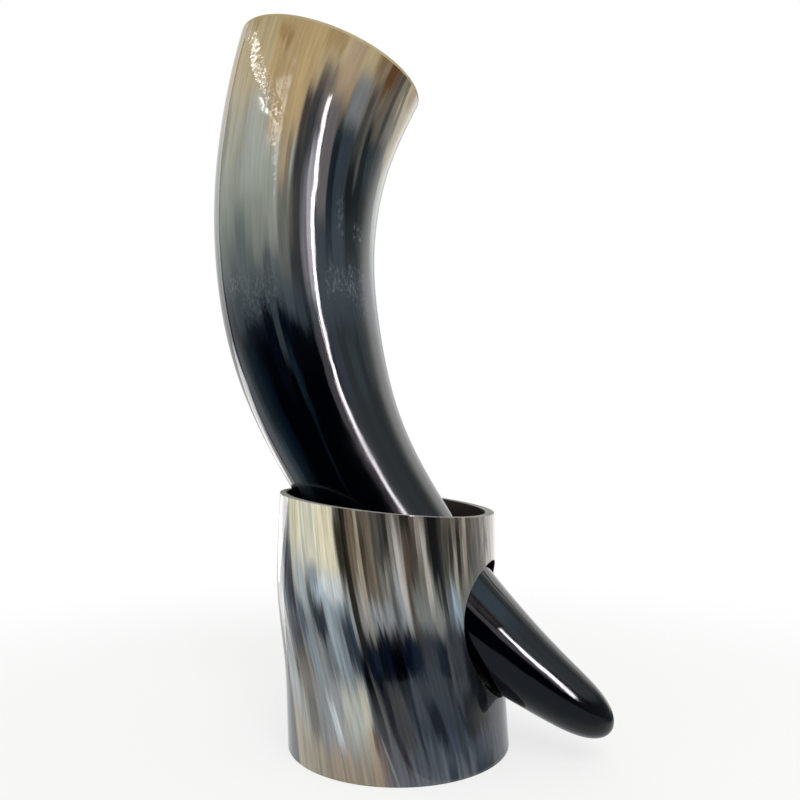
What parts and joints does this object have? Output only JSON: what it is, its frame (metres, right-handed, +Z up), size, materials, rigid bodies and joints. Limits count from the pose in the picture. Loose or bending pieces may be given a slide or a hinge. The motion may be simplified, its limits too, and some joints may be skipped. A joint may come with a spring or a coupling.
{
  "type": "drinking horn",
  "caption": "Curved polished natural horn cup, hollow from its mouth to a solid dark tip, leaning in a short open horn section whose side hole lets the tip out.",
  "frame": {"origin": "middle of the bounding box's lower face, on the surface that the stand's foot rests on", "axes": "+Z up, +X towards the horn's tip; the horn curves in a plane that is square to Y"},
  "size_m": [0.1617, 0.0854, 0.2889],
  "materials": {
    "cup_horn": "polished",
    "stand_horn": "polished"
  },
  "bodies": {
    "stand": {"horn_stand": "stand_horn"},
    "cup": {"drinking_horn": "cup_horn"}
  },
  "joints": [
    {"name": "horn_draw", "type": "hinge", "parent": "stand", "child": "cup", "pos_m": [0.1712, -0.001, 0.2156], "axis": [0, 1, 0], "range_deg": [0, 45]}
  ]
}
